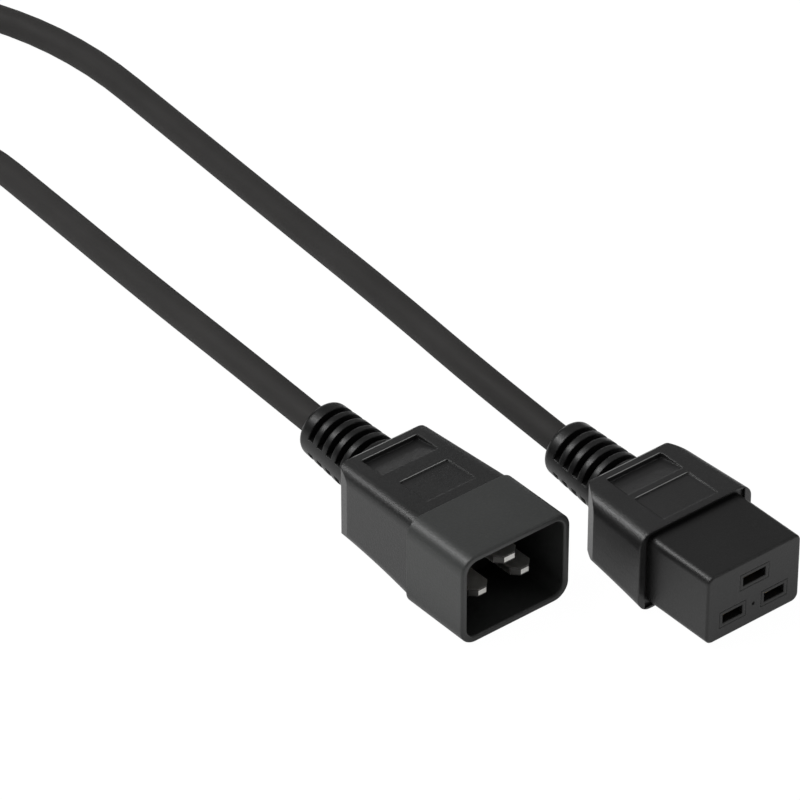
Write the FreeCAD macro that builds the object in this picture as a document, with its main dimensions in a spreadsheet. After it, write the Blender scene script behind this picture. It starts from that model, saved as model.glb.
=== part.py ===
"""Power extension cord with a 16 A male plug on one end and the matching female socket on the other.

Millimetres, +Z up. Each connector is drawn in its own frame: its front face at y = 0, its body running
back along +Y, its middle at x = 0 and its lowest face at z = 0. The two are then set side by side on the
floor with the origin under the middle of the pair. The cord runs back from both into one tied coil.
"""
import FreeCAD, Part
import math
import os
import Sketcher
from FreeCAD import Placement, Rotation, Vector

doc = FreeCAD.newDocument("extension_cord")
sheet = doc.addObject("Spreadsheet::Sheet", "sizes")

DRIVING_SIZES = {
    # the pin pattern that both connectors share
    "pin_pitch": 13.0,
    "earth_rise": 8.0,
    "pin_thickness": 2.0,
    "line_pin_width": 6.0,
    "earth_pin_width": 6.8,
    "pin_tip_bevel": 1.8,
    # hard housing of the plug
    "plug_width": 33.0,
    "plug_height": 25.2,
    "shroud_length": 20.5,
    "shroud_wall": 1.8,
    "shroud_corner_radius": 4.5,
    "shroud_base": 1.0,
    "cavity_corner_radius": 2.9,
    "rim_round": 0.6,
    "plug_pin_height": 9.5,
    "line_tip_depth": 4.5,
    "earth_tip_depth": 2.5,
    "spigot_width": 24.0,
    "spigot_height": 17.0,
    "spigot_length": 6.5,
    # moulded grip of the plug
    "plug_grip_length": 29.3,
    "plug_side_step": 1.2,
    "plug_side_taper": 1.05,
    "plug_top_step": 0.1,
    "plug_top_drop": 1.15,
    "plug_belly_rise": 2.6,
    "plug_belly_reach": 12.3,
    "plug_belly_sweep": 1.75,
    "plug_bevel_length": 4.3,
    "plug_bevel_width": 1.4,
    "plug_edge_radius": 3.6,
    "plug_relief_height": 14.1,
    "rear_edge_round": 1.2,
    # nose, insert and grip of the socket
    "nose_width": 29.0,
    "nose_height": 19.4,
    "nose_length": 20.8,
    "nose_edge_radius": 2.0,
    "nose_wall": 1.8,
    "nose_seat": 3.0,
    "collar_width": 35.0,
    "collar_height": 22.6,
    "collar_gutter": 0.9,
    "collar_gutter_depth": 0.8,
    "slot_thickness": 2.6,
    "slot_side_play": 0.3,
    "chimney_margin": 0.9,
    "chimney_seam": 0.1,
    "face_dimple_diameter": 0.9,
    "face_dimple_depth": 0.4,
    "socket_grip_length": 24.6,
    "socket_side_taper": 1.4,
    "socket_belly_rise": 2.6,
    "socket_belly_reach": 10.0,
    "socket_belly_sweep": 1.3,
    "socket_bevel_length": 6.8,
    "socket_bevel_width": 4.2,
    "socket_edge_radius": 4.0,
    "socket_relief_height": 13.1,
    # two recesses in the top of each grip
    "thumb_recess_width": 17.2,
    "thumb_recess_length": 7.8,
    "thumb_recess_depth": 1.4,
    "thumb_front_depth": 0.2,
    "plug_thumb_inset": 2.6,
    "plug_panel_gap": 5.1,
    "plug_panel_width": 14.8,
    "socket_thumb_inset": 2.2,
    "socket_panel_gap": 2.2,
    "socket_panel_width": 17.0,
    "panel_length": 10.3,
    "panel_depth": 0.4,
    "panel_front_depth": 0.12,
    "recess_corner_radius": 0.6,
    # ribbed strain relief behind each grip
    "plug_relief_length": 23.6,
    "socket_relief_length": 22.6,
    "relief_seat": 1.2,
    "relief_front_diameter": 17.1,
    "relief_tail_diameter": 14.7,
    "relief_tail_round": 1.6,
    "relief_lift": 3.5,
    "rib_groove_count": 5,
    "rib_groove_pitch": 3.65,
    "rib_groove_width": 1.95,
    "rib_floor_diameter": 10.6,
    "rib_web_height": 3.8,
    "rib_tail_band": 3.9,
    # wires
    "cord_diameter": 7.6,
    "cord_seat": 3.0,
    "core_diameter": 2.9,
    "core_circle_radius": 1.8,
    "core_length": 9.4,
    "strand_diameter": 1.7,
    "strand_bare_length": 2.0,
    "barrel_diameter": 3.6,
    "barrel_length": 5.0,
    "tail_width": 3.0,
    "tail_thickness": 1.0,
    # spring contacts of the socket
    "contact_width": 7.4,
    "contact_height": 3.6,
    "contact_wall": 0.5,
    "contact_inset": 2.4,
    "contact_length": 13.5,
    # how the two connectors lie
    "socket_offset": 41.7,
    "socket_lead": 36.8,
    # the coil of cord and its strap
    "coil_radius": 40.0,
    "coil_band_width": 21.2,
    "coil_band_height": 21.0,
    "coil_band_round": 7.0,
    "coil_lead_length": 20.0,
    "tie_width": 16.0,
    "tie_thickness": 1.4,
    "tie_play": 0.4,
    "tie_inner_round": 5.0,
}

# the route is chosen by hand, in the finished frame: what each run passes after its straight exit
EXIT_RUN = 50.0
COIL_CENTRE = (-38.3, 312.9)
COIL_ENTRY_ANGLE = 241.1
COIL_LEAVING_ANGLE = 35.46
TIE_ANGLE = 150.0
FLOOR_HEIGHT = 3.9
PLUG_RUN_POINTS = [
    (-15.45, 132.0, 12.0),
    (-8.6, 184.0, 7.0),
    (-4.05, 225.6, 3.9),
]
SOCKET_RUN_POINTS = [
    (27.9, 90.0, 12.8),
    (36.05, 142.0, 7.0),
    (42.35, 195.0, 3.9),
    (46.05, 247.6, 3.9),
]
PLUG_LAST_RUN = 26.0
SOCKET_LAST_RUN = 40.0
OVERCUT = 4.0


class Size:
    """A size that knows its number and the sheet formula that it comes from."""

    def __init__(self, number, formula):
        self.number = number
        self.formula = formula

    def joined(self, sign, other, number):
        if not isinstance(other, Size):
            other = Size(float(other), repr(float(other)))
        return Size(number, "(%s %s %s)" % (self.formula, sign, other.formula))

    def __float__(self):
        return float(self.number)

    def __add__(self, other):
        return self.joined("+", other, float(self) + float(other))

    def __sub__(self, other):
        return self.joined("-", other, float(self) - float(other))

    def __mul__(self, other):
        return self.joined("*", other, float(self) * float(other))

    def __truediv__(self, other):
        return self.joined("/", other, float(self) / float(other))

    def __neg__(self):
        return self * -1.0

    def root(self):
        return Size(math.sqrt(float(self)), "sqrt(%s)" % self.formula)


def fill_sheet():
    """Write each driving size into its own cell and return them by name."""
    sizes = {}
    for row, (name, number) in enumerate(DRIVING_SIZES.items(), start=1):
        sheet.set("A%d" % row, name.replace("_", " "))
        sheet.set("B%d" % row, str(number))
        sheet.setAlias("B%d" % row, name)
        sizes[name] = Size(float(number), "sizes.%s" % name)
    doc.recompute()
    return sizes


size = fill_sheet()
ZERO = Size(0.0, "0.0")


def bind(thing, prop, value):
    """Tie a property of an object to the sheet."""
    thing.setExpression(prop, value.formula)


def new_body(name):
    body = doc.addObject("PartDesign::Body", name)
    body.Label = name
    return body


def new_sketch(body, name, role, offset=None):
    """A sketch on one of the body's own planes, moved along the plane's normal."""
    sketch = body.newObject("Sketcher::SketchObject", name)
    plane = next(feature for feature in body.Origin.OriginFeatures if feature.Role == role)
    sketch.AttachmentSupport = [(plane, "")]
    sketch.MapMode = "FlatFace"
    if offset is not None:
        bind(sketch, ".AttachmentOffset.Base.z", offset)
    return sketch


def front_sketch(body, name, depth=ZERO):
    """A sketch seen from the front: x across, y up, at a distance behind the front face."""
    return new_sketch(body, name, "XZ_Plane", -depth)


def fix_point(sketch, geometry, end, across, along):
    """Hold one point of a sketch at two sheet values."""
    for kind, value in (("DistanceX", across), ("DistanceY", along)):
        index = sketch.addConstraint(Sketcher.Constraint(kind, -1, 1, geometry, end, float(value)))
        bind(sketch, "Constraints[%d]" % index, value)


def as_size(value):
    return value if isinstance(value, Size) else ZERO + value


def draw_outline(sketch, corners, bulges=None):
    """A closed outline through the corners. A bulge names a point that turns that side into an arc."""
    bulges = bulges or {}
    corners = [(as_size(across), as_size(along)) for across, along in corners]
    spots = [Vector(float(across), float(along), 0) for across, along in corners]
    for index, start in enumerate(spots):
        end = spots[(index + 1) % len(spots)]
        if index not in bulges:
            line = sketch.addGeometry(Part.LineSegment(start, end))
            fix_point(sketch, line, 1, *corners[index])
            fix_point(sketch, line, 2, *corners[(index + 1) % len(spots)])
            continue
        across, along = (as_size(value) for value in bulges[index])
        middle = Vector(float(across), float(along), 0)
        clockwise = (middle - start).cross(end - middle).z < 0
        first, last = (end, start) if clockwise else (start, end)
        arc = sketch.addGeometry(Part.Arc(first, middle, last))
        fix_point(sketch, arc, 2 if clockwise else 1, *corners[index])
        fix_point(sketch, arc, 1 if clockwise else 2, *corners[(index + 1) % len(spots)])
        mark = sketch.addGeometry(Part.Point(middle), True)
        fix_point(sketch, mark, 1, across, along)
        sketch.addConstraint(Sketcher.Constraint("PointOnObject", mark, 1, arc))


def draw_rectangle(sketch, centre, width, height):
    """An upright rectangle around a centre."""
    across, along = (as_size(value) for value in centre)
    draw_outline(sketch, [
        (across - width / 2, along - height / 2),
        (across + width / 2, along - height / 2),
        (across + width / 2, along + height / 2),
        (across - width / 2, along + height / 2),
    ])


def draw_circle(sketch, centre, diameter):
    across, along = (as_size(value) for value in centre)
    circle = Part.Circle(Vector(float(across), float(along), 0), Vector(0, 0, 1), float(diameter) / 2)
    geometry = sketch.addGeometry(circle)
    fix_point(sketch, geometry, 3, across, along)
    index = sketch.addConstraint(Sketcher.Constraint("Diameter", geometry, float(diameter)))
    bind(sketch, "Constraints[%d]" % index, diameter)


def extrude(body, sketch, kind, length, midplane=False, flip=False):
    """A Pad or a Pocket of a sketch. From a front sketch, both run towards the back."""
    feature = body.newObject("PartDesign::%s" % kind, "%s_%s" % (sketch.Name, kind.lower()))
    feature.Profile = sketch
    feature.Midplane = midplane
    feature.Reversed = flip
    bind(feature, "Length", length)
    doc.recompute()
    return feature


def pad_back(body, sketch, length):
    return extrude(body, sketch, "Pad", length, flip=True)


def cut_back(body, sketch, length):
    return extrude(body, sketch, "Pocket", length)


def edges_where(shape, test):
    return ["Edge%d" % number for number, edge in enumerate(shape.Edges, start=1) if test(edge)]


def runs_back(edge):
    """True for an edge that leads from front to back more than across or up."""
    ends = edge.Vertexes
    if len(ends) < 2:
        return False
    run = ends[1].Point - ends[0].Point
    return abs(run.y) > 3 * max(abs(run.x), abs(run.z), 0.3)


def lies_at(edge, depth):
    box = edge.BoundBox
    return abs(box.YMin - depth) < 1e-4 and abs(box.YMax - depth) < 1e-4


def round_edges(body, test, radius):
    """Round the edges of the body's last feature that pass a test."""
    base = body.Tip
    names = edges_where(base.Shape, test)
    if not names:
        raise ValueError("%s has no such edges to round" % body.Name)
    fillet = body.newObject("PartDesign::Fillet", "%s_round" % base.Name)
    fillet.Base = (base, names)
    bind(fillet, "Radius", radius)
    doc.recompute()
    return fillet


def pin_places(row_height):
    """Where the three pins stand: name, x, z and pin width."""
    return [
        ("line", -(size["pin_pitch"] / 2), row_height, size["line_pin_width"]),
        ("neutral", size["pin_pitch"] / 2, row_height, size["line_pin_width"]),
        ("earth", ZERO, row_height + size["earth_rise"], size["earth_pin_width"]),
    ]


# places that several pieces share, in the frame of their own connector
cavity_depth = size["shroud_length"] - size["shroud_base"]
plug_middle = size["plug_height"] / 2
spigot_end = size["shroud_length"] + size["spigot_length"]
plug_rear = size["shroud_length"] + size["plug_grip_length"]
plug_top = size["plug_height"] - size["plug_top_step"]
plug_rear_top = plug_top - size["plug_top_drop"]
nose_floor = (size["collar_height"] - size["nose_height"]) / 2
nose_middle = size["collar_height"] / 2
nose_end = size["nose_length"] + size["nose_seat"]
slot_row = nose_middle - size["earth_rise"] / 2
socket_rear = size["nose_length"] + size["socket_grip_length"]

# the origin lies under the middle of the pair's bounding box
lift = math.radians(float(size["relief_lift"]))
tail_reach = math.cos(lift) * float(size["plug_relief_length"] - size["relief_tail_round"])
tail_reach += math.sin(lift) * float(size["relief_tail_diameter"] / 2 - size["relief_tail_round"])
tail_reach += float(size["relief_tail_round"])
PAIR_MIDDLE_X = float(size["socket_offset"] + size["collar_width"] / 2 - size["plug_width"] / 2) / 2
PAIR_MIDDLE_Y = (float(plug_rear) + tail_reach - float(size["socket_lead"])) / 2
PLUG_PLACE = Vector(-PAIR_MIDDLE_X, -PAIR_MIDDLE_Y, 0)
SOCKET_PLACE = PLUG_PLACE + Vector(float(size["socket_offset"]), -float(size["socket_lead"]), 0)


def make_plug_shroud():
    """The hard front of the plug: an open box around the pins, with a spigot that the grip holds."""
    body = new_body("plug_shroud")
    outside = front_sketch(body, "shroud_outside")
    draw_rectangle(outside, (ZERO, plug_middle), size["plug_width"], size["plug_height"])
    pad_back(body, outside, size["shroud_length"])
    round_edges(body, runs_back, size["shroud_corner_radius"])
    spigot = front_sketch(body, "spigot", size["shroud_length"])
    draw_rectangle(spigot, (ZERO, plug_middle), size["spigot_width"], size["spigot_height"])
    pad_back(body, spigot, size["spigot_length"])
    cavity = front_sketch(body, "cavity")
    inner_width = size["plug_width"] - size["shroud_wall"] * 2
    inner_height = size["plug_height"] - size["shroud_wall"] * 2
    draw_rectangle(cavity, (ZERO, plug_middle), inner_width, inner_height)
    cut_back(body, cavity, cavity_depth)
    reach = float(inner_width) / 2

    def cavity_corner(edge):
        middle = edge.CenterOfMass
        deep = edge.BoundBox.YMax < float(cavity_depth) + 0.1
        return runs_back(edge) and deep and abs(abs(middle.x) - reach) < 0.01

    round_edges(body, cavity_corner, size["cavity_corner_radius"])
    pins = front_sketch(body, "pin_passages", cavity_depth)
    for _, across, height, width in pin_places(size["plug_pin_height"]):
        draw_rectangle(pins, (across, height), width, size["pin_thickness"])
    cut_back(body, pins, spigot_end - cavity_depth)
    round_edges(body, lambda edge: lies_at(edge, 0), size["rim_round"])
    return body


def make_plug_pin(name, across, height, width):
    """A flat pin with a bevelled tip, a narrow tail and a crimp barrel at its back."""
    tip = size["earth_tip_depth"] if name == "earth" else size["line_tip_depth"]
    bevel = size["pin_tip_bevel"]
    body = new_body("plug_%s_pin" % name)
    plan = new_sketch(body, "%s_pin_plan" % name, "XY_Plane", height)
    tail_end = spigot_end + size["cord_seat"]
    draw_outline(plan, [
        (across - width / 2 + bevel, tip),
        (across + width / 2 - bevel, tip),
        (across + width / 2, tip + bevel),
        (across + width / 2, spigot_end),
        (across + size["tail_width"] / 2, spigot_end),
        (across + size["tail_width"] / 2, tail_end),
        (across - size["tail_width"] / 2, tail_end),
        (across - size["tail_width"] / 2, spigot_end),
        (across - width / 2, spigot_end),
        (across - width / 2, tip + bevel),
    ])
    extrude(body, plan, "Pad", size["pin_thickness"], midplane=True)
    add_barrel(body, name, across, height, spigot_end + size["tail_thickness"])
    return body


def add_barrel(body, name, across, height, start):
    """The crimp barrel at the back of a pin or contact, open behind for the bare wire."""
    barrel = front_sketch(body, "%s_barrel" % name, start)
    draw_circle(barrel, (across, height), size["barrel_diameter"])
    pad_back(body, barrel, size["barrel_length"])
    bore = front_sketch(body, "%s_barrel_bore" % name, start + size["tail_thickness"])
    draw_circle(bore, (across, height), size["strand_diameter"])
    cut_back(body, bore, size["barrel_length"] + size["tail_thickness"])


def add_relief(body, name, face, height, length):
    """The tapered strain relief, with grooves above and below that leave a web along each side."""
    tilt = float(size["relief_lift"])
    sleeve = new_sketch(body, "%s_sleeve" % name, "YZ_Plane")
    sleeve.AttachmentOffset = Placement(Vector(0, 0, 0), Rotation(Vector(0, 0, 1), tilt))
    bind(sleeve, ".AttachmentOffset.Base.x", face)
    bind(sleeve, ".AttachmentOffset.Base.y", height)
    draw_outline(sleeve, [
        (-size["relief_seat"], ZERO),
        (length, ZERO),
        (length, size["relief_tail_diameter"] / 2),
        (ZERO, size["relief_front_diameter"] / 2),
        (-size["relief_seat"], size["relief_front_diameter"] / 2),
    ])
    turned = body.newObject("PartDesign::Revolution", "%s_turned" % name)
    turned.Profile = sleeve
    turned.ReferenceAxis = (sleeve, ["H_Axis"])
    turned.Angle = 360
    doc.recompute()
    rim = float(face) + math.cos(lift) * float(length)
    rim += math.sin(lift) * float(size["relief_tail_diameter"] / 2)

    def tail_edge(edge):
        return edge.Closed and abs(edge.BoundBox.YMax - rim) < 0.05

    round_edges(body, tail_edge, size["relief_tail_round"])
    front_side = length - size["rib_tail_band"] - size["rib_groove_width"]
    groove = new_sketch(body, "%s_groove" % name, "XZ_Plane")
    slope = Rotation(Vector(1, 0, 0), tilt)
    groove.AttachmentOffset = Placement(Vector(0, 0, 0), slope)
    bind(groove, ".AttachmentOffset.Base.y", height + front_side * math.sin(lift))
    bind(groove, ".AttachmentOffset.Base.z", -(face + front_side * math.cos(lift)))
    floor = size["rib_floor_diameter"] / 2
    web = size["rib_web_height"] / 2
    corner = (floor * floor - web * web).root()
    outside = size["relief_front_diameter"] / 2 + 1.0
    for side in (1.0, -1.0):
        draw_outline(groove, [
            (-outside, web * side),
            (-corner, web * side),
            (corner, web * side),
            (outside, web * side),
            (outside, outside * side),
            (-outside, outside * side),
        ], bulges={1: (ZERO, floor * side)})
    pocket = cut_back(body, groove, size["rib_groove_width"])
    rows = body.newObject("PartDesign::LinearPattern", "%s_grooves" % name)
    rows.Originals = [pocket]
    rows.Direction = (groove, ["N_Axis"])
    bind(rows, "Length", size["rib_groove_pitch"] * (size["rib_groove_count"] - 1))
    bind(rows, "Occurrences", size["rib_groove_count"])
    body.Tip = rows
    doc.recompute()


def add_top_recesses(body, name, rear, rear_top, slope):
    """A thumb recess near the back of the grip and a bare panel before it, each shallower to the front."""
    inset = size["%s_thumb_inset" % name]
    recesses = [
        ("thumb", inset, size["thumb_recess_width"], size["thumb_recess_length"],
         size["thumb_recess_depth"], size["thumb_front_depth"]),
        ("panel", inset + size["thumb_recess_length"] + size["%s_panel_gap" % name],
         size["%s_panel_width" % name], size["panel_length"],
         size["panel_depth"], size["panel_front_depth"]),
    ]
    for kind, inset, width, length, depth, front_depth in recesses:
        back_rim = rear_top + slope * inset
        front_rim = rear_top + slope * (inset + length)
        profile = new_sketch(body, "%s_%s_recess" % (name, kind), "YZ_Plane")
        draw_outline(profile, [
            (rear - inset, back_rim - depth),
            (rear - inset, back_rim + OVERCUT),
            (rear - inset - length, front_rim + OVERCUT),
            (rear - inset - length, front_rim - front_depth),
        ])
        extrude(body, profile, "Pocket", width, midplane=True)

        def back_corner(edge, half=float(width) / 2, floor=float(back_rim - depth)):
            box = edge.BoundBox
            upright = box.ZLength > 0.2 and box.XLength < 0.01 and box.YLength < 0.01
            return upright and abs(abs(box.XMin) - half) < 0.01 and abs(box.ZMin - floor) < 0.01

        round_edges(body, back_corner, size["recess_corner_radius"])


def add_rear_bevels(body, name, front, rear, half_width, taper, bevel_length, bevel_width):
    """Cut both rear corners of a grip away on a slant, and soften the upright edges that this leaves."""
    start = half_width - taper / (rear - front) * (rear - front - bevel_length)
    plan = new_sketch(body, "%s_bevels" % name, "XY_Plane", -size["plug_height"])
    for side in (1.0, -1.0):
        draw_outline(plan, [
            (start * side, rear - bevel_length),
            ((start + OVERCUT) * side, rear - bevel_length),
            ((start + OVERCUT) * side, rear + OVERCUT),
            ((start - bevel_width - bevel_width / bevel_length * OVERCUT) * side, rear + OVERCUT),
        ])
    extrude(body, plan, "Pocket", size["plug_height"] * 3, flip=True)

    def rear_corner(edge):
        box = edge.BoundBox
        return box.YMin > float(rear) - 0.01 and box.XLength < 0.01 and box.ZLength > 8.0

    round_edges(body, rear_corner, size["rear_edge_round"])


def add_side_tapers(body, name, front, rear, half_width, taper):
    """Narrow a grip evenly from its front to its back."""
    plan = new_sketch(body, "%s_tapers" % name, "XY_Plane", -size["plug_height"])
    for side in (1.0, -1.0):
        draw_outline(plan, [
            (half_width * side, front),
            ((half_width + OVERCUT) * side, front),
            ((half_width + OVERCUT) * side, rear),
            ((half_width - taper) * side, rear),
        ])
    extrude(body, plan, "Pocket", size["plug_height"] * 3, flip=True)


def make_plug_grip():
    """The soft grip moulded over the back of the housing, with its strain relief."""
    body = new_body("plug_grip_solid")
    front = size["shroud_length"]
    half_width = size["plug_width"] / 2 - size["plug_side_step"]
    profile = new_sketch(body, "plug_grip_profile", "YZ_Plane")
    belly = (front + size["plug_belly_reach"], size["plug_belly_sweep"])
    draw_outline(profile, [
        (front, size["plug_top_step"]),
        (plug_rear, size["plug_belly_rise"]),
        (plug_rear, plug_rear_top),
        (front, plug_top),
    ], bulges={0: belly})
    extrude(body, profile, "Pad", half_width * 2, midplane=True)
    add_side_tapers(body, "plug", front, plug_rear, half_width, size["plug_side_taper"])
    round_edges(body, runs_back, size["plug_edge_radius"])
    add_rear_bevels(body, "plug", front, plug_rear, half_width, size["plug_side_taper"],
                    size["plug_bevel_length"], size["plug_bevel_width"])
    top_slope = size["plug_top_drop"] / size["plug_grip_length"]
    add_top_recesses(body, "plug", plug_rear, plug_rear_top, top_slope)
    add_relief(body, "plug_relief", plug_rear, size["plug_relief_height"], size["plug_relief_length"])
    return body


def make_socket_nose():
    """The front sleeve of the socket: a deep cup with a window for each chimney of the insert."""
    body = new_body("socket_nose")
    outside = front_sketch(body, "nose_outside")
    draw_rectangle(outside, (ZERO, nose_middle), size["nose_width"], size["nose_height"])
    pad_back(body, outside, nose_end)
    round_edges(body, runs_back, size["nose_edge_radius"])
    inside = front_sketch(body, "nose_inside", size["nose_wall"])
    draw_rectangle(inside, (ZERO, nose_middle), size["nose_width"] - size["nose_wall"] * 2,
                   size["nose_height"] - size["nose_wall"] * 2)
    cut_back(body, inside, nose_end)
    windows = front_sketch(body, "nose_windows")
    grow = size["chimney_margin"] * 2 + size["chimney_seam"] * 2
    for _, across, height, width in pin_places(slot_row):
        slot_width = width + size["slot_side_play"]
        draw_rectangle(windows, (across, height), slot_width + grow, size["slot_thickness"] + grow)
    cut_back(body, windows, size["nose_wall"])
    dimple = front_sketch(body, "face_dimple")
    draw_circle(dimple, (ZERO, slot_row), size["face_dimple_diameter"])
    cut_back(body, dimple, size["face_dimple_depth"])
    round_edges(body, lambda edge: lies_at(edge, 0) and edge.BoundBox.DiagonalLength > 1.0
                and outer_face_edge(edge), size["rim_round"])
    return body


def outer_face_edge(edge):
    """True for an edge on the outside of the nose's front face."""
    box = edge.BoundBox
    side = max(abs(box.XMin), abs(box.XMax)) > float(size["nose_width"]) / 2 - 2.01
    low = box.ZMin < float(nose_floor) + 0.01
    high = box.ZMax > float(nose_floor + size["nose_height"]) - 0.01
    return side or low or high


def make_socket_insert():
    """The hard insert that fills the nose, with three chimneys that show in its face."""
    body = new_body("socket_insert")
    block = front_sketch(body, "insert_block", size["nose_wall"])
    draw_rectangle(block, (ZERO, nose_middle), size["nose_width"] - size["nose_wall"] * 2,
                   size["nose_height"] - size["nose_wall"] * 2)
    pad_back(body, block, nose_end - size["nose_wall"])
    chimneys = front_sketch(body, "chimneys")
    grow = size["chimney_margin"] * 2
    for _, across, height, width in pin_places(slot_row):
        slot_width = width + size["slot_side_play"]
        draw_rectangle(chimneys, (across, height), slot_width + grow, size["slot_thickness"] + grow)
    pad_back(body, chimneys, size["nose_wall"])
    slots = front_sketch(body, "slots")
    chambers = front_sketch(body, "chambers", size["contact_inset"])
    passages = front_sketch(body, "passages", size["contact_inset"] + size["contact_length"])
    for _, across, height, width in pin_places(slot_row):
        slot_width = width + size["slot_side_play"]
        draw_rectangle(slots, (across, height), slot_width, size["slot_thickness"])
        draw_rectangle(chambers, (across, height), size["contact_width"], size["contact_height"])
        draw_rectangle(passages, (across, height), size["tail_width"], size["tail_thickness"])
    cut_back(body, slots, size["contact_inset"])
    cut_back(body, chambers, size["contact_length"])
    cut_back(body, passages, nose_end - size["contact_inset"] - size["contact_length"])
    return body


def make_socket_contact(name, across, height):
    """A folded spring contact: a flat tube open in front, with a tail and a crimp barrel."""
    body = new_body("socket_%s_contact" % name)
    start = size["contact_inset"]
    tube = front_sketch(body, "%s_tube" % name, start)
    draw_rectangle(tube, (across, height), size["contact_width"], size["contact_height"])
    pad_back(body, tube, size["contact_length"])
    hollow = front_sketch(body, "%s_hollow" % name, start)
    draw_rectangle(hollow, (across, height), size["contact_width"] - size["contact_wall"] * 2,
                   size["contact_height"] - size["contact_wall"] * 2)
    cut_back(body, hollow, size["contact_length"] - size["contact_wall"])
    strap_start = start + size["contact_length"]
    strap = front_sketch(body, "%s_strap" % name, strap_start)
    draw_rectangle(strap, (across, height), size["tail_width"], size["tail_thickness"])
    pad_back(body, strap, nose_end + size["cord_seat"] - strap_start)
    add_barrel(body, name, across, height, nose_end + size["tail_thickness"])
    return body


def make_socket_grip():
    """The soft grip of the socket, with a collar face around the nose and its strain relief."""
    body = new_body("socket_grip_solid")
    front = size["nose_length"]
    half_width = size["collar_width"] / 2
    profile = new_sketch(body, "socket_grip_profile", "YZ_Plane")
    belly = (front + size["socket_belly_reach"], size["socket_belly_sweep"])
    draw_outline(profile, [
        (front, ZERO),
        (socket_rear, size["socket_belly_rise"]),
        (socket_rear, size["collar_height"]),
        (front, size["collar_height"]),
    ], bulges={0: belly})
    extrude(body, profile, "Pad", half_width * 2, midplane=True)
    add_side_tapers(body, "socket", front, socket_rear, half_width, size["socket_side_taper"])
    round_edges(body, runs_back, size["socket_edge_radius"])
    add_rear_bevels(body, "socket", front, socket_rear, half_width, size["socket_side_taper"],
                    size["socket_bevel_length"], size["socket_bevel_width"])
    add_top_recesses(body, "socket", socket_rear, size["collar_height"], ZERO)
    gutter = front_sketch(body, "collar_gutter", size["nose_length"])
    draw_rectangle(gutter, (ZERO, nose_middle), size["nose_width"] + size["collar_gutter"] * 2,
                   size["nose_height"] + size["collar_gutter"] * 2)
    cut_back(body, gutter, size["collar_gutter_depth"])
    add_relief(body, "socket_relief", socket_rear, size["socket_relief_height"],
               size["socket_relief_length"])
    return body


def rounded_path(points):
    """Straight runs joined by tangent arcs that are as large as their two runs allow."""
    edges = []
    radii = []
    start = points[0]
    for before, corner, after in zip(points, points[1:], points[2:]):
        towards = (corner - before).normalize()
        away = (after - corner).normalize()
        turn = towards.getAngle(away)
        reach = 0.45 * min((corner - before).Length, (after - corner).Length)
        radius = reach / math.tan(turn / 2)
        radii.append(radius)
        arc_start = corner - towards * reach
        arc_end = corner + away * reach
        inward = (away - towards).normalize()
        sag = radius / math.cos(turn / 2) - radius
        edges.append(Part.LineSegment(start, arc_start).toShape())
        edges.append(Part.Arc(arc_start, corner + inward * sag, arc_end).toShape())
        start = arc_end
    edges.append(Part.LineSegment(start, points[-1]).toShape())
    return Part.Wire(edges), radii


def swept_tube(points, diameter):
    """A round solid along the rounded path, its volume compared with section times length."""
    path, radii = rounded_path(points)
    first = (points[1] - points[0]).normalize()
    circle = Part.Circle(points[0], first, diameter / 2)
    profile = Part.Wire([circle.toShape()])
    tube = path.makePipeShell([profile], True, False)
    expected = math.pi * diameter ** 2 / 4 * path.Length
    if abs(tube.Volume / expected - 1) > 0.01:
        raise ValueError("a swept tube has volume %.0f, not %.0f" % (tube.Volume, expected))
    return tube, path.Length, radii


def add_shape(name, shape):
    feature = doc.addObject("Part::Feature", name)
    feature.Label = name
    feature.Shape = shape
    return feature


def relief_line(place, face, height):
    """The point where the strain relief's axis meets the grip's back, and the axis direction."""
    point = place + Vector(0, float(face), float(height))
    return point, Vector(0, math.cos(lift), math.sin(lift))


def core_seats(point, direction):
    """Where the three cores lie side by side as they leave the end of the jacket."""
    radius = float(size["core_circle_radius"])
    upward = Vector(1, 0, 0).cross(direction)
    seats = {}
    for name, angle in (("line", 210), ("neutral", 330), ("earth", 90)):
        turn = math.radians(angle)
        seats[name] = point + Vector(radius * math.cos(turn), 0, 0) + upward * (radius * math.sin(turn))
    return seats


def make_wires(prefix, place, barrel_start, row_height, point, direction):
    """The three cores between the crimp barrels and the jacket, and their bare strands."""
    pieces = []
    jacket_end = point - direction * float(size["cord_seat"])
    seats = core_seats(jacket_end, direction)
    strand_start = float(barrel_start + size["tail_thickness"])
    core_start = float(barrel_start + size["barrel_length"] + size["strand_bare_length"])
    for name, across, height, _ in pin_places(row_height):
        front = place + Vector(float(across), core_start, float(height))
        seat = seats[name]
        straight = (seat - front).Length * 0.28
        route = [front, front + Vector(0, straight, 0), seat - direction * straight, seat]
        core, _, _ = swept_tube(route, float(size["core_diameter"]))
        pieces.append(add_shape("%s_%s_core" % (prefix, name), core))
        strand = doc.addObject("Part::Cylinder", "%s_%s_strand" % (prefix, name))
        strand.Label = strand.Name
        bind(strand, "Radius", size["strand_diameter"] / 2)
        bind(strand, "Height", size["barrel_length"] + size["strand_bare_length"] - size["tail_thickness"])
        start = place + Vector(float(across), strand_start, float(height))
        strand.Placement = Placement(start, Rotation(Vector(1, 0, 0), -90))
        pieces.append(strand)
    return pieces


def coil_lead(angle, outward):
    """The tangent point of a lead on the coil, and the lead's outer end."""
    turn = math.radians(angle)
    radius = float(size["coil_radius"] + size["cord_diameter"] / 2)
    tangent = Vector(COIL_CENTRE[0] + radius * math.cos(turn), COIL_CENTRE[1] + radius * math.sin(turn),
                     FLOOR_HEIGHT)
    heading = Vector(math.sin(turn), -math.cos(turn), 0) * outward
    return tangent, heading, tangent + heading * float(size["coil_lead_length"])


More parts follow.
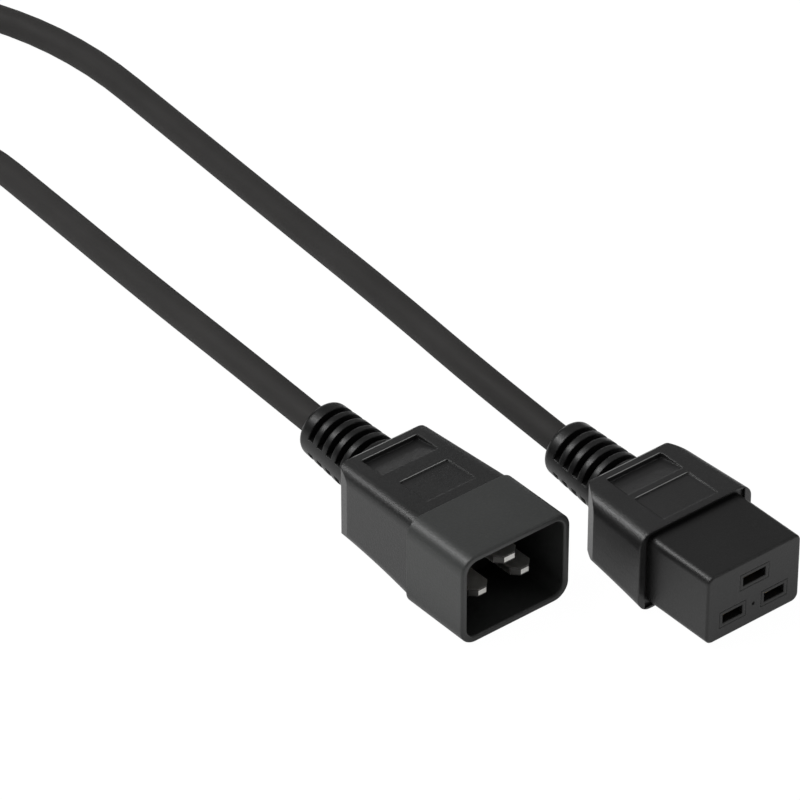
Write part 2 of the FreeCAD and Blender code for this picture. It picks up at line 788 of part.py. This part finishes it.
def make_coil(runs):
    """The tied coil as one ring of its outer shape, with the two leads that meet the free runs."""
    band_width = float(size["coil_band_width"])
    band_height = float(size["coil_band_height"])
    inner = float(size["coil_radius"]) - band_width / 2
    outer = inner + band_width
    corners = [Vector(inner, 0, 0), Vector(outer, 0, 0), Vector(outer, 0, band_height),
               Vector(inner, 0, band_height)]
    section = Part.Face(Part.makePolygon(corners + corners[:1]))
    ring = section.revolve(Vector(0, 0, 0), Vector(0, 0, 1), 360)
    ring = ring.makeFillet(float(size["coil_band_round"]), [edge for edge in ring.Edges if edge.Closed])
    ring.translate(Vector(COIL_CENTRE[0], COIL_CENTRE[1], 0))
    for angle, outward in ((COIL_ENTRY_ANGLE, -1.0), (COIL_LEAVING_ANGLE, 1.0)):
        tangent, heading, _ = coil_lead(angle, outward)
        radius = float(size["cord_diameter"]) / 2
        lead = Part.makeCylinder(radius, float(size["coil_lead_length"]), tangent, heading)
        ring = ring.fuse(lead)
    tie = make_tie_band(inner, outer, band_height)
    ring = ring.removeSplitter().cut(tie)
    for run in runs:
        ring = ring.cut(run.Shape)
    return add_shape("cord_coil", ring), add_shape("coil_tie", tie)


def make_tie_band(inner, outer, band_height):
    """The hook and loop strap: a band drawn snugly around the bundle, pressed flat on the floor."""
    thickness = float(size["tie_thickness"])
    width = float(size["tie_width"])
    layers = []
    play = float(size["tie_play"])
    for grow in (thickness, 0.0):
        block = Part.makeBox(outer - inner + 2 * (play + grow), width, band_height + 2 * grow,
                             Vector(inner - play - grow, -width / 2, thickness - grow))
        along = [edge for edge in block.Edges if edge.BoundBox.YLength > width - 0.01]
        layers.append(block.makeFillet(float(size["tie_inner_round"]) + grow, along))
    band = layers[0].cut(layers[1])
    band.rotate(Vector(0, 0, 0), Vector(0, 0, 1), TIE_ANGLE)
    band.translate(Vector(COIL_CENTRE[0], COIL_CENTRE[1], 0))
    return band


def make_run(name, point, direction, spots, angle, outward, last_run):
    """One free stretch of the cord, from inside its strain relief to its lead on the coil."""
    start = point - direction * float(size["cord_seat"])
    _, heading, lead_end = coil_lead(angle, outward)
    route = [start, start + direction * EXIT_RUN]
    route += [Vector(*spot) for spot in spots]
    route += [lead_end + heading * last_run, lead_end]
    tube, length, radii = swept_tube(route, float(size["cord_diameter"]))
    print(name, "length %.0f" % length, "radii", ["%.0f" % radius for radius in radii])
    return add_shape(name, tube), length


def cut_for(name, body, tools):
    """A grip with room for exactly the pieces that are moulded into it."""
    gathered = doc.addObject("Part::MultiFuse", "%s_inside" % name)
    gathered.Shapes = tools
    cut = doc.addObject("Part::Cut", name)
    cut.Label = name
    cut.Base = body
    cut.Tool = gathered
    return cut


def make_connectors():
    """Every piece of both connectors, each in its place."""
    nodes = {}
    shroud = make_plug_shroud()
    pins = [make_plug_pin(*pin) for pin in pin_places(size["plug_pin_height"])]
    nose = make_socket_nose()
    insert = make_socket_insert()
    contacts = [make_socket_contact(name, across, height)
                for name, across, height, _ in pin_places(slot_row)]
    plug_grip = make_plug_grip()
    socket_grip = make_socket_grip()
    for body in [shroud, plug_grip] + pins:
        body.Placement = Placement(PLUG_PLACE, Rotation())
    for body in [nose, insert, socket_grip] + contacts:
        body.Placement = Placement(SOCKET_PLACE, Rotation())
    plug_line = relief_line(PLUG_PLACE, plug_rear, size["plug_relief_height"])
    socket_line = relief_line(SOCKET_PLACE, socket_rear, size["socket_relief_height"])
    plug_wires = make_wires("plug", PLUG_PLACE, spigot_end + size["tail_thickness"],
                            size["plug_pin_height"], *plug_line)
    socket_wires = make_wires("socket", SOCKET_PLACE, nose_end + size["tail_thickness"],
                              slot_row, *socket_line)
    plug_run, plug_length = make_run("cord_plug_run", *plug_line, PLUG_RUN_POINTS,
                                     COIL_ENTRY_ANGLE, -1.0, PLUG_LAST_RUN)
    socket_run, socket_length = make_run("cord_socket_run", *socket_line, SOCKET_RUN_POINTS,
                                         COIL_LEAVING_ANGLE, 1.0, SOCKET_LAST_RUN)
    turns = (COIL_ENTRY_ANGLE - COIL_LEAVING_ANGLE) / 360 + 4
    coiled = turns * 2 * math.pi * float(size["coil_radius"]) + 2 * float(size["coil_lead_length"])
    print("whole cord about %.0f" % (plug_length + socket_length + coiled))
    coil, tie = make_coil([plug_run, socket_run])
    moulded_plug = cut_for("plug_grip", plug_grip, [shroud, plug_run] + pins + plug_wires)
    moulded_socket = cut_for("socket_grip", socket_grip,
                             [nose, insert, socket_run] + contacts + socket_wires)
    pieces = [shroud, moulded_plug, nose, insert, moulded_socket, plug_run, socket_run, coil, tie]
    for piece in pieces + pins + contacts + plug_wires + socket_wires:
        nodes[piece.Label] = piece
    return nodes


def check_and_write(nodes):
    """Stop on any failed object, then write each piece to its own file."""
    doc.recompute()
    for item in doc.Objects:
        if "Invalid" in item.State or "Error" in item.State:
            raise ValueError("%s failed: %s" % (item.Name, item.State))
    for name, piece in nodes.items():
        if piece.Shape.isNull() or not piece.Shape.isValid() or not piece.Shape.Solids:
            raise ValueError("%s has no valid solid" % name)
    os.makedirs("parts", exist_ok=True)
    for name, piece in nodes.items():
        piece.Shape.exportStep("parts/%s.step" % name)
        print(name, len(piece.Shape.Solids), "%.1f" % piece.Shape.Volume)


check_and_write(make_connectors())
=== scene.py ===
"""Looks of the power extension cord: the pieces' materials, the soft cord, a pale studio and the camera."""
import bpy
import math
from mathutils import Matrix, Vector


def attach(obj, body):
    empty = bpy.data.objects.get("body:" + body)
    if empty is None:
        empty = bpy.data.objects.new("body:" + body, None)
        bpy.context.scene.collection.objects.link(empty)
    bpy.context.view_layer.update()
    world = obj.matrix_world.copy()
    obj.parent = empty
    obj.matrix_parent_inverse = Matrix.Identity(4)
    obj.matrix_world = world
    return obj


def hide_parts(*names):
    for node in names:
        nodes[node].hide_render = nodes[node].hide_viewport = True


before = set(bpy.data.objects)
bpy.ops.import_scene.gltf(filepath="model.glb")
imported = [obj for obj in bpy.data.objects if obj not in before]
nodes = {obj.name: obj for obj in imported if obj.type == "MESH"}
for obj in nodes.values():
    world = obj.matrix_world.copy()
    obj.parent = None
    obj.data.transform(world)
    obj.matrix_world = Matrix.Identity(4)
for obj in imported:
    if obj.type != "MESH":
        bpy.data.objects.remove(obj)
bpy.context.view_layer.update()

MM = 0.001

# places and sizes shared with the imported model, in millimetres
PLUG_PLACE = Vector((-21.35, -18.455, 0.0))
SOCKET_PLACE = PLUG_PLACE + Vector((41.7, -36.8, 0.0))
PIN_MIDDLE = 13.5
PIN_RISE = 8.0
PARTING_HEIGHT = 10.2
# a grip's rear face: how far it is behind the connector's front, and the height at which the cord leaves it
PLUG_REAR = (49.8, 14.1)
SOCKET_REAR = (45.4, 13.1)
RELIEF_LIFT = math.radians(3.5)
RELIEF_LENGTH = 23.6
# the recesses in a grip's top: how far each is in front of the rear face, and half its width
PLUG_RECESSES = ((2.6, 8.6), (15.5, 7.4))
SOCKET_RECESSES = ((2.2, 8.6), (12.2, 8.5))

# the route of the cord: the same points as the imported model's
CORD_SEAT = 3.0
CORD_DIAMETER = 7.6
EXIT_RUN = 50.0
COIL_CENTRE = Vector((-38.3, 312.9, 0.0))
COIL_RADIUS = 40.0
COIL_LEAD = 20.0
COIL_ENTRY_ANGLE = math.radians(241.1)
COIL_LEAVING_ANGLE = math.radians(35.46)
COIL_TURNS = 4
FLOOR_HEIGHT = 3.9
PLUG_RUN_POINTS = [(-15.45, 132.0, 12.0), (-8.6, 184.0, 7.0), (-4.05, 225.6, 3.9)]
SOCKET_RUN_POINTS = [(27.9, 90.0, 12.8), (36.05, 142.0, 7.0), (42.35, 195.0, 3.9), (46.05, 247.6, 3.9)]
PLUG_LAST_RUN = 26.0
SOCKET_LAST_RUN = 40.0

# the drawn turns of the coil: strands around a hollow middle, the lowest just clear of the floor
COIL_STEPS = 110
BUNDLE_RADIUS = 6.75
FIRST_STRAND_ANGLE = math.radians(-54)
FLOOR_GAP = 0.1

# fine marks of the finish and painted light, in millimetres: a line is full to its first half width and gone
# at its second
GRAIN_DEPTH = 0.04
ROLLED_DEPTH = 0.03
PARTING_DEPTH = 0.1
PARTING_HALF_WIDTHS = (0.08, 0.24)
# the painted highlight lines along the grips' sharp top edges
HIGHLIGHT_HALF_WIDTHS = (0.09, 0.15)
HIGHLIGHT_FADE = 1.0
HIGHLIGHT_OFFSET = 0.12
REAR_EDGE_HALF = 9.5
RELIEF_FADE = 0.15
PIN_BEVEL_STARTS = (0.62, 0.76)
# how far the walls of a cavity reach in darkening it with painted shade
CAVITY_SHADE_REACH = 14.0

# plain tones
BLACK = (0.0, 0.0, 0.0)
HARD_BLACK = ((0.008, 0.008, 0.008), (0.0115, 0.0115, 0.0115))
# the bright colour of the painted highlight lines on the grips' edges
PAINTED_HIGHLIGHT_TONE = (0.32, 0.325, 0.32)
# the near-black painted shade on the pins' tip bevels
BEVEL_SHADE_TONE = (0.012, 0.012, 0.0115)
FLOOR_PAINT = (0.7, 0.7, 0.7, 1.0)
STUDIO_WHITE = (1.0, 1.0, 1.0, 1.0)

# the studio, in metres: values that end in SEEN are for what the camera sees
FLOOR_SIZE = 6.0
FLOOR_PLACE = (0.0, 0.3, -0.0001)
FLOOR_GLOW = 1.05
GLOW_SHARE = 0.42
GLOW_SHARE_SEEN = 0.94
SKY_AT_HORIZON = 0.04
SKY_OVERHEAD = 0.25
SKY_RISE = 0.5
SKY_SEEN = 1.0

# each light's name, place, aim, width and power, and its height where it isn't square
LIGHTS = [
    ("key_left", (-0.5, 0.32, 0.95), (0.0, 0.05, 0.0), 0.6, 6.5, None),
    ("edge_left", (-0.55, 0.75, 0.8), (0.0, 0.0, 0.01), 0.24, 1.8, None),
    ("fill_right", (0.75, -0.885, 0.875), (0.0, -0.02, 0.01), 0.3, 0.75, None),
    ("back_card", (0.62, 1.0, 0.16), (0.0, 0.0, 0.02), 0.45, 0.3, 0.2),
]

# the photograph's camera
CAMERA_PLACE = (-0.70186, -0.81444, 0.81541)
CAMERA_TILT = math.radians(54.34)
CAMERA_TURN = math.radians(-39.04)
CAMERA_LENS = 253.45
CAMERA_SENSOR = 36.0
CAMERA_NEAR = 0.01
CAMERA_FAR = 20.0


class Graph:
    """A short way to lay out the nodes of one material. Its places and lengths are in millimetres."""

    def __init__(self, name):
        self.material = bpy.data.materials.new(name)
        self.material.use_nodes = True
        self.tree = self.material.node_tree
        self.tree.nodes.clear()
        self.output = self.add("ShaderNodeOutputMaterial")
        self.where = self.add("ShaderNodeTexCoord").outputs["Object"]

    def add(self, kind, inputs=None, **props):
        node = self.tree.nodes.new(kind)
        for name, value in props.items():
            setattr(node, name, value)
        for key, value in (inputs or {}).items():
            if isinstance(value, bpy.types.NodeSocket):
                self.tree.links.new(value, node.inputs[key])
            else:
                node.inputs[key].default_value = value
        return node

    def noise(self, scale, detail=2.0, rough=0.5, vector=None):
        node = self.add("ShaderNodeTexNoise", {
            "Vector": vector or self.where, "Scale": scale, "Detail": detail, "Roughness": rough})
        return node.outputs["Fac"]

    def spread(self, value, low, high, start=0.3, end=0.7):
        node = self.add("ShaderNodeMapRange", {
            "Value": value, "From Min": start, "From Max": end, "To Min": low, "To Max": high})
        return node.outputs["Result"]

    def maths(self, operation, first, second=0.0):
        return self.add("ShaderNodeMath", {0: first, 1: second}, operation=operation).outputs[0]

    def blend(self, factor, first, second):
        node = self.add("ShaderNodeMix", {0: factor}, data_type="RGBA")
        for index, value in ((6, first), (7, second)):
            if isinstance(value, bpy.types.NodeSocket):
                self.tree.links.new(value, node.inputs[index])
            else:
                node.inputs[index].default_value = (*value, 1.0)
        return node.outputs[2]

    def stretched(self, scale):
        return self.add("ShaderNodeMapping", {"Vector": self.where, "Scale": scale}).outputs["Vector"]

    def parts(self, vector):
        return self.add("ShaderNodeSeparateXYZ", {"Vector": vector}).outputs

    def facing(self):
        """The parts of the direction that the surface faces."""
        return self.parts(self.add("ShaderNodeNewGeometry").outputs["True Normal"])

    def distance(self, value, place):
        """How far a coordinate is from a place."""
        return self.maths("ABSOLUTE", self.maths("SUBTRACT", value, place * MM))

    def fine_line(self, off_line, half_widths):
        """1 on a line, and 0 beyond it."""
        full, gone = half_widths
        return self.spread(off_line, 1.0, 0.0, full * MM, gone * MM)

    def soft_edge(self, radius):
        return self.add("ShaderNodeBevel", {"Radius": radius * MM}, samples=4).outputs["Normal"]

    def unshaded_share(self, reach):
        """1 in the open, and less where walls stand within reach: the mask of painted shade."""
        return self.add("ShaderNodeAmbientOcclusion", {"Distance": reach * MM}, samples=4).outputs["AO"]

    def bump(self, height, strength, depth, normal=None):
        inputs = {"Height": height, "Strength": strength, "Distance": depth * MM}
        if normal is not None:
            inputs["Normal"] = normal
        return self.add("ShaderNodeBump", inputs).outputs["Normal"]

    def parting_line(self, height):
        """1 on a fine level line around a moulding."""
        return self.fine_line(self.distance(self.parts(self.where)["Z"], height), PARTING_HALF_WIDTHS)

    def painted_highlight_line(self, across, back, half_length):
        """1 on a painted highlight: a fine level line across a moulding's top, at a place along it."""
        place = self.parts(self.where)
        line = self.fine_line(self.distance(place["Y"], back), HIGHLIGHT_HALF_WIDTHS)
        inside = self.fine_line(self.distance(place["X"], across), (half_length - HIGHLIGHT_FADE, half_length))
        level = self.maths("GREATER_THAN", self.facing()["Z"], 0.9)
        return self.maths("MULTIPLY", self.maths("MULTIPLY", line, inside), level)

    def beyond(self, rear):
        """1 behind a grip's rear face, where its strain relief is."""
        back = self.parts(self.where)["Y"]
        return self.spread(back, 0.0, 1.0, (rear - RELIEF_FADE) * MM, (rear + RELIEF_FADE) * MM)

    def finish(self, **sockets):
        shader = self.add("ShaderNodeBsdfPrincipled")
        for name, value in sockets.items():
            socket = shader.inputs[name.replace("_", " ")]
            if isinstance(value, bpy.types.NodeSocket):
                self.tree.links.new(value, socket)
            else:
                socket.default_value = value
        self.tree.links.new(shader.outputs[0], self.output.inputs["Surface"])
        return self.material


def scaled(colour, factor):
    return [channel * factor for channel in colour]


def moulded(name, dark, light, rough, grain=1.0, edge=0.5, shine=0.5,
            parting=None, rear=None, cavity=None, painted_highlights=()):
    """Moulded plastic: a spark-eroded grain, faint cloudiness and edges that catch the light.

    It can have a parting line at a height, a blacker strain relief behind its rear face, painted shade
    that darkens a cavity's walls within a reach, and painted highlight lines along sharp edges.
    """
    g = Graph(name)
    cloud = g.noise(45.0, 3.0)
    speck = g.noise(2900.0, 3.0, 0.65)
    fleck = g.noise(1500.0, 2.0)
    tone = g.blend(g.spread(cloud, 0.0, 1.0), dark, light)
    tone = g.blend(g.spread(fleck, 0.0, 0.3, 0.5, 0.75), tone, scaled(light, 1.4))
    gloss = g.maths("ADD", g.spread(speck, rough - 0.06, rough + 0.06), g.spread(cloud, -0.03, 0.03))
    normal = g.soft_edge(edge)
    # painted highlight: bright lines along sharp top edges
    for line in painted_highlights:
        tone = g.blend(g.painted_highlight_line(*line), tone, PAINTED_HIGHLIGHT_TONE)
    if parting:
        groove = g.parting_line(parting)
        tone = g.blend(g.maths("MULTIPLY", groove, 0.9), tone, scaled(dark, 0.35))
        normal = g.bump(groove, -0.5, PARTING_DEPTH, normal)
    height = g.maths("ADD", speck, g.maths("MULTIPLY", fleck, 0.8))
    if rear:
        behind = g.beyond(rear)
        tone = g.blend(g.maths("MULTIPLY", behind, 0.6), tone, BLACK)
        gloss = g.maths("ADD", gloss, g.maths("MULTIPLY", behind, 0.02))
        shine = g.spread(behind, shine, shine * 0.7, 0.0, 1.0)
        height = g.maths("MULTIPLY", height, g.spread(behind, 1.0, 0.2, 0.0, 1.0))
    # painted shade: darker tone and less shine where walls stand within reach
    if cavity:
        unshaded = g.unshaded_share(cavity)
        tone = g.blend(unshaded, BLACK, tone)
        shine = g.spread(unshaded, 0.0, shine, 0.0, 0.8)
    normal = g.bump(height, grain, GRAIN_DEPTH, normal)
    return g.finish(Base_Color=tone, Roughness=gloss, Normal=normal, Specular_IOR_Level=shine)


def painted_highlight_edges(place, rear, recesses):
    """Painted highlight lines on a grip's sharp edges: behind each recess, and the rear edge of its top."""
    lines = [(place.x, place.y + rear - inset + HIGHLIGHT_OFFSET, half_width) for inset, half_width in recesses]
    return lines + [(place.x, place.y + rear - HIGHLIGHT_OFFSET, REAR_EDGE_HALF)]


def jacket():
    """The cord's PVC jacket: matt, with a faint drag along its length and a little dust."""
    g = Graph("jacket_pvc")
    cloud = g.noise(60.0, 3.0)
    speck = g.noise(4200.0, 3.0, 0.6)
    drag = g.noise(700.0, 3.0, 0.6, g.stretched((1.0, 0.05, 1.0)))
    tone = g.blend(g.spread(cloud, 0.0, 1.0), (0.032, 0.0307, 0.0299), (0.038, 0.0365, 0.0356))
    tone = g.blend(g.spread(speck, 0.0, 0.3, 0.52, 0.75), tone, (0.052, 0.05, 0.0487))
    gloss = g.maths("ADD", g.spread(drag, 0.62, 0.72), g.spread(speck, -0.04, 0.04))
    height = g.maths("ADD", speck, g.maths("MULTIPLY", drag, 0.6))
    normal = g.bump(height, 0.22, GRAIN_DEPTH)
    return g.finish(Base_Color=tone, Roughness=gloss, Normal=normal, Specular_IOR_Level=0.2)


def nickel():
    """Nickel plating: fine lines of rolled strip, and painted shade on the tips' bevels, darker than their
    ends.
    """
    g = Graph("pin_nickel")
    lines = g.noise(900.0, 4.0, 0.7, g.stretched((1.0, 0.04, 1.0)))
    cloud = g.noise(160.0, 3.0)
    facing = g.facing()
    off_pin = g.distance(g.distance(g.parts(g.where)["Z"], PIN_MIDDLE), PIN_RISE / 2)
    beside = g.spread(g.maths("ABSOLUTE", facing["X"]), 0.0, 1.0, 0.15, 0.4)
    low, high = PIN_BEVEL_STARTS
    above = g.spread(off_pin, 0.0, 1.0, low * MM, high * MM)
    end_on = g.maths("LESS_THAN", facing["Y"], -0.3)
    # painted shade: the front-facing bevels around each pin tip are painted near black
    shaded_bevel = g.maths("MULTIPLY", g.maths("MAXIMUM", beside, above), end_on)
    tone = g.blend(g.spread(cloud, 0.0, 1.0), (0.62, 0.61, 0.58), (0.8, 0.79, 0.76))
    tone = g.blend(g.maths("MULTIPLY", shaded_bevel, 0.93), tone, BEVEL_SHADE_TONE)
    gloss = g.maths("ADD", g.spread(lines, 0.28, 0.42), g.maths("MULTIPLY", above, 0.2))
    normal = g.bump(lines, 0.25, ROLLED_DEPTH, g.soft_edge(0.45))
    return g.finish(Base_Color=tone, Roughness=gloss, Normal=normal, Metallic=1.0)


def rolled(name, dark, light, rough):
    """Bare metal inside the connectors: rolled brass sheet or drawn copper."""
    g = Graph(name)
    lines = g.noise(1100.0, 4.0, 0.7, g.stretched((1.0, 0.06, 1.0)))
    tone = g.blend(g.spread(g.noise(220.0, 3.0), 0.0, 1.0), dark, light)
    gloss = g.spread(lines, rough, rough + 0.15)
    normal = g.bump(lines, 0.3, ROLLED_DEPTH, g.soft_edge(0.15))
    return g.finish(Base_Color=tone, Roughness=gloss, Normal=normal, Metallic=1.0)


def insulation(name, colour, stripe=None):
    """Smooth core insulation, with a stripe along it on the earth core."""
    g = Graph(name)
    cloud = g.noise(300.0, 3.0)
    tone = g.blend(g.spread(cloud, 0.0, 1.0), colour, scaled(colour, 1.25))
    if stripe:
        wave = g.add("ShaderNodeTexWave", {"Vector": g.where, "Scale": 90.0, "Distortion": 0.4})
        band = g.spread(wave.outputs["Fac"], 0.0, 1.0, 0.62, 0.68)
        tone = g.blend(band, tone, stripe)
    normal = g.bump(g.noise(2400.0, 2.0), 0.15, ROLLED_DEPTH)
    return g.finish(Base_Color=tone, Roughness=g.spread(cloud, 0.36, 0.44), Normal=normal)


def strap():
    """Hook and loop tape: a close weave on one side of a soft pile."""
    g = Graph("tie_weave")
    threads = {"Vector": g.where, "Scale": 420.0, "Distortion": 1.2, "Detail Scale": 3.0}
    across = g.add("ShaderNodeTexWave", threads, bands_direction="X")
    along = g.add("ShaderNodeTexWave", threads, bands_direction="Z")
    weave = g.maths("MULTIPLY", across.outputs["Fac"], along.outputs["Fac"])
    fuzz = g.noise(2600.0, 4.0, 0.7)
    height = g.maths("ADD", weave, g.maths("MULTIPLY", fuzz, 0.7))
    tone = g.blend(g.spread(height, 0.0, 1.0, 0.2, 1.3), (0.012, 0.012, 0.013), (0.05, 0.05, 0.052))
    normal = g.bump(height, 0.6, 0.2)
    return g.finish(Base_Color=tone, Roughness=0.85, Normal=normal, Sheen_Weight=0.3)


def dress(node, material):
    """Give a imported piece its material."""
    mesh = nodes[node].data
    mesh.materials.clear()
    mesh.materials.append(material)


def dress_mouldings():
    dress("plug_shroud", moulded(
        "housing_plastic", (0.038, 0.0398, 0.0388), (0.045, 0.0468, 0.0458), 0.38, grain=0.8, edge=0.3,
        cavity=CAVITY_SHADE_REACH))
    dress("plug_grip", moulded(
        "plug_grip_pvc", (0.01, 0.0102, 0.0102), (0.0135, 0.0137, 0.0137), 0.33, grain=1.15, edge=0.6,
        shine=0.6, rear=PLUG_PLACE.y + PLUG_REAR[0],
        painted_highlights=painted_highlight_edges(PLUG_PLACE, PLUG_REAR[0], PLUG_RECESSES)))
    dress("socket_grip", moulded(
        "socket_grip_pvc", (0.0105, 0.0105, 0.0106), (0.0145, 0.0145, 0.0146), 0.33, grain=1.15, edge=0.6,
        shine=0.68, parting=PARTING_HEIGHT, rear=SOCKET_PLACE.y + SOCKET_REAR[0],
        painted_highlights=painted_highlight_edges(SOCKET_PLACE, SOCKET_REAR[0], SOCKET_RECESSES)))
    dress("socket_nose", moulded("nose_plastic", *HARD_BLACK, 0.34))
    dress("socket_insert", moulded("insert_plastic", *HARD_BLACK, 0.4, grain=0.6))


def dress_conductors():
    metal = nickel()
    brass = rolled("contact_brass", (0.58, 0.44, 0.2), (0.74, 0.58, 0.3), 0.24)
    copper = rolled("strand_copper", (0.62, 0.3, 0.17), (0.78, 0.42, 0.26), 0.28)
    cores = {
        "line": insulation("core_brown", (0.17, 0.075, 0.035)),
        "neutral": insulation("core_blue", (0.05, 0.16, 0.45)),
        "earth": insulation("core_green", (0.12, 0.34, 0.06), (0.68, 0.6, 0.06)),
    }
    for name, core in cores.items():
        dress("plug_%s_pin" % name, metal)
        dress("socket_%s_contact" % name, brass)
        for end in ("plug", "socket"):
            dress("%s_%s_core" % (end, name), core)
            dress("%s_%s_strand" % (end, name), copper)


def cord_start(place, rear):
    """Where the cord begins in a strain relief, its direction, and the middle of the relief's mouth."""
    direction = Vector((0.0, math.cos(RELIEF_LIFT), math.sin(RELIEF_LIFT)))
    face = place + Vector((0.0, rear[0], rear[1]))
    return face - direction * CORD_SEAT, direction, face + direction * RELIEF_LENGTH


def coil_lead(angle, outward):
    """The outer end of a lead on the coil, and the lead's direction away from the coil."""
    radius = COIL_RADIUS + CORD_DIAMETER / 2
    tangent = COIL_CENTRE + Vector((radius * math.cos(angle), radius * math.sin(angle), FLOOR_HEIGHT))
    heading = Vector((math.sin(angle), -math.cos(angle), 0.0)) * outward
    return tangent + heading * COIL_LEAD, heading


def coil_points():
    """Turns that lie around a hollow middle of the bundle and trade places once a turn, like a loose rope."""
    sweep = COIL_ENTRY_ANGLE - COIL_LEAVING_ANGLE
    step = (sweep + COIL_TURNS * 2 * math.pi) / COIL_STEPS
    slot = 2 * math.pi / (COIL_TURNS + 1)
    points = []
    for index in range(COIL_STEPS):
        swept = (index + 0.5) * step
        turn, rest = divmod(swept, 2 * math.pi)
        share = min(rest / sweep, 1.0)
        share = share * share * (3 - 2 * share)
        strands = range(COIL_TURNS + 1) if rest < sweep else range(COIL_TURNS)
        lowest = max(-math.sin(FIRST_STRAND_ANGLE - slot * (strand + share)) for strand in strands)
        place = FIRST_STRAND_ANGLE - slot * (turn + share)
        radius = (COIL_RADIUS + BUNDLE_RADIUS * math.cos(place)) / math.cos(step / 2)
        height = CORD_DIAMETER / 2 + FLOOR_GAP + BUNDLE_RADIUS * (lowest + math.sin(place))
        angle = COIL_ENTRY_ANGLE - swept
        points.append(COIL_CENTRE + Vector((radius * math.cos(angle), radius * math.sin(angle), height)))
    return points


def make_cord():
    """The whole cord as one soft line, from the plug's strain relief through the coil to the socket's."""
    start, direction, mouth = cord_start(PLUG_PLACE, PLUG_REAR)
    entry, inward = coil_lead(COIL_ENTRY_ANGLE, -1.0)
    points = [start, start + direction * EXIT_RUN]
    points += [Vector(spot) for spot in PLUG_RUN_POINTS]
    points += [entry + inward * PLUG_LAST_RUN, entry]
    points += coil_points()
    leaving, outward = coil_lead(COIL_LEAVING_ANGLE, 1.0)
    points += [leaving, leaving + outward * SOCKET_LAST_RUN]
    points += [Vector(spot) for spot in reversed(SOCKET_RUN_POINTS)]
    end, direction, _ = cord_start(SOCKET_PLACE, SOCKET_REAR)
    points += [end + direction * EXIT_RUN, end]
    curve = bpy.data.curves.new("power_cord", "CURVE")
    curve.dimensions = "3D"
    spline = curve.splines.new("NURBS")
    spline.points.add(len(points) - 1)
    for point, place in zip(spline.points, points):
        point.co = (*(place * MM), 1.0)
    spline.order_u = 3
    spline.use_endpoint_u = True
    curve.resolution_u = 6
    curve.bevel_depth = CORD_DIAMETER / 2 * MM
    curve.bevel_resolution = 7
    curve.use_fill_caps = True
    cord = bpy.data.objects.new("power_cord", curve)
    bpy.context.scene.collection.objects.link(cord)
    curve.materials.append(jacket())
    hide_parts("cord_plug_run", "cord_socket_run", "cord_coil")
    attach(cord, "root")


def make_floor():
    """A pale floor whose colour reads as the studio's white where only the camera looks at it."""
    bpy.ops.mesh.primitive_plane_add(size=FLOOR_SIZE, location=FLOOR_PLACE)
    floor = bpy.context.object
    floor.name = "floor"
    g = Graph("floor_white")
    paint = g.add("ShaderNodeBsdfDiffuse", {"Color": FLOOR_PAINT})
    glow = g.add("ShaderNodeEmission", {"Color": STUDIO_WHITE, "Strength": FLOOR_GLOW})
    path = g.add("ShaderNodeLightPath")
    share = g.spread(path.outputs["Is Camera Ray"], GLOW_SHARE, GLOW_SHARE_SEEN, 0.0, 1.0)
    mix = g.add("ShaderNodeMixShader", {0: share, 1: paint.outputs[0], 2: glow.outputs[0]})
    g.tree.links.new(mix.outputs[0], g.output.inputs["Surface"])
    floor.data.materials.append(g.material)


def make_world():
    """A white surround: plain for the camera, and as a light dim overhead and dark at the horizon."""
    world = bpy.data.worlds.new("studio")
    world.use_nodes = True
    tree = world.node_tree
    tree.nodes.clear()
    around = tree.nodes.new("ShaderNodeTexCoord")
    upward = tree.nodes.new("ShaderNodeSeparateXYZ")
    glow = tree.nodes.new("ShaderNodeMapRange")
    glow.inputs["From Max"].default_value = SKY_RISE
    glow.inputs["To Min"].default_value = SKY_AT_HORIZON
    glow.inputs["To Max"].default_value = SKY_OVERHEAD
    path = tree.nodes.new("ShaderNodeLightPath")
    strength = tree.nodes.new("ShaderNodeMapRange")
    strength.inputs["To Max"].default_value = SKY_SEEN
    back = tree.nodes.new("ShaderNodeBackground")
    back.inputs["Color"].default_value = STUDIO_WHITE
    output = tree.nodes.new("ShaderNodeOutputWorld")
    tree.links.new(around.outputs["Generated"], upward.inputs[0])
    tree.links.new(upward.outputs["Z"], glow.inputs["Value"])
    tree.links.new(path.outputs["Is Camera Ray"], strength.inputs["Value"])
    tree.links.new(glow.outputs["Result"], strength.inputs["To Min"])
    tree.links.new(strength.outputs["Result"], back.inputs["Strength"])
    tree.links.new(back.outputs[0], output.inputs["Surface"])
    bpy.context.scene.world = world


def make_light(name, place, aim, width, power, height):
    data = bpy.data.lights.new(name, "AREA")
    data.energy = power
    data.size = width
    if height:
        data.shape = "RECTANGLE"
        data.size_y = height
    light = bpy.data.objects.new(name, data)
    light.location = place
    light.rotation_euler = (Vector(aim) - Vector(place)).to_track_quat("-Z", "Y").to_euler()
    bpy.context.scene.collection.objects.link(light)


def make_camera():
    """The photograph's long lens, with no roll."""
    data = bpy.data.cameras.new("photo_camera")
    data.sensor_width = CAMERA_SENSOR
    data.lens = CAMERA_LENS
    data.clip_start = CAMERA_NEAR
    data.clip_end = CAMERA_FAR
    camera = bpy.data.objects.new("photo_camera", data)
    camera.location = CAMERA_PLACE
    camera.rotation_euler = (CAMERA_TILT, 0.0, CAMERA_TURN)
    bpy.context.scene.collection.objects.link(camera)
    bpy.context.scene.camera = camera
    bpy.context.scene.view_settings.view_transform = "Standard"


dress_mouldings()
dress_conductors()
dress("coil_tie", strap())
make_cord()
make_floor()
make_world()
for light in LIGHTS:
    make_light(*light)
make_camera()
